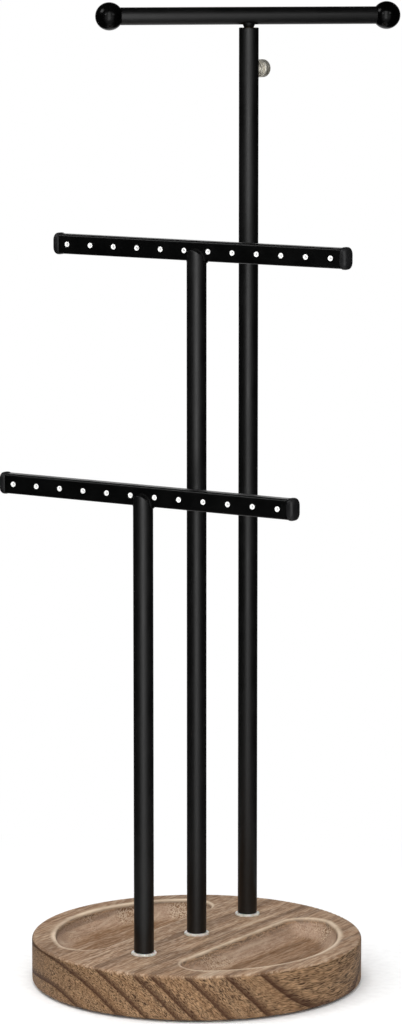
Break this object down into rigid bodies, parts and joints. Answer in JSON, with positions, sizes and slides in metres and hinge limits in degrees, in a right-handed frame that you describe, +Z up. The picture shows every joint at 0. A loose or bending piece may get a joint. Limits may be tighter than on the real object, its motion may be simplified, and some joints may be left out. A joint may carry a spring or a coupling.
{
  "type": "jewellery stand",
  "caption": "Tiered jewellery stand: round wooden base with carved trays, posts with earring bars, and a clamped top bar that slides up and turns.",
  "frame": {"origin": "centre of the underside of the foot pad, on the surface the stand rests on", "axes": "+Z up along the posts, +X along the earring bars, +Y along the row of posts from the short one to the tall one; the thumb screw points to +Y"},
  "size_m": [0.1564, 0.1694, 0.4418],
  "materials": {
    "wood": "oiled, scorched grain",
    "foam_pad": "fine foam",
    "foot_rings": "satin",
    "steel_hardware": "zinc plated",
    "black_frame": "satin powder coat",
    "black_top_bar": "satin powder coat",
    "rod": "satin",
    "bar_caps": "satin",
    "eyelets": "smooth",
    "bush": "blackened",
    "collar": "smooth",
    "thumb_screw": "nickel plated"
  },
  "bodies": {
    "stand": {"wooden_base": "wood", "foot_pad": "foam_pad", "short_post_foot_ring": "foot_rings", "middle_post_foot_ring": "foot_rings", "tall_post_foot_ring": "foot_rings", "short_post_insert": "steel_hardware", "middle_post_insert": "steel_hardware", "tall_post_insert": "steel_hardware", "short_post_bolt": "steel_hardware", "middle_post_bolt": "steel_hardware", "tall_post_bolt": "steel_hardware", "short_post_washer": "steel_hardware", "middle_post_washer": "steel_hardware", "tall_post_washer": "steel_hardware", "short_post": "black_frame", "middle_post": "black_frame", "tall_post": "black_frame", "lower_bar_weld": "black_frame", "middle_bar_weld": "black_frame", "lower_bar": "black_frame", "middle_bar": "black_frame", "lower_bar_eyelets": "eyelets", "middle_bar_eyelets": "eyelets", "lower_bar_left_cap": "bar_caps", "lower_bar_right_cap": "bar_caps", "middle_bar_left_cap": "bar_caps", "middle_bar_right_cap": "bar_caps", "guide_bush": "bush"},
    "rod_carrier": {"stop_collar": "collar"},
    "top_arm": {"inner_rod": "rod", "retaining_ring": "steel_hardware", "top_bar_neck": "black_top_bar", "top_bar": "black_top_bar", "left_ball": "black_top_bar", "right_ball": "black_top_bar"},
    "thumb_screw": {"thumb_screw_shank": "thumb_screw", "thumb_screw_head": "thumb_screw"}
  },
  "joints": [
    {"name": "top_bar_height", "type": "slide", "parent": "stand", "child": "rod_carrier", "axis": [0, 0, 1], "range_m": [0, 0.11]},
    {"name": "top_bar_swivel", "type": "hinge", "parent": "rod_carrier", "child": "top_arm", "pos_m": [0, 0.043, 0.29], "axis": [0, 0, 1], "continuous": true},
    {"name": "thumb_screw_turn", "type": "hinge", "parent": "stand", "child": "thumb_screw", "pos_m": [0, 0.051, 0.4117], "axis": [0, 1, 0], "range_deg": [0, 720]}
  ]
}
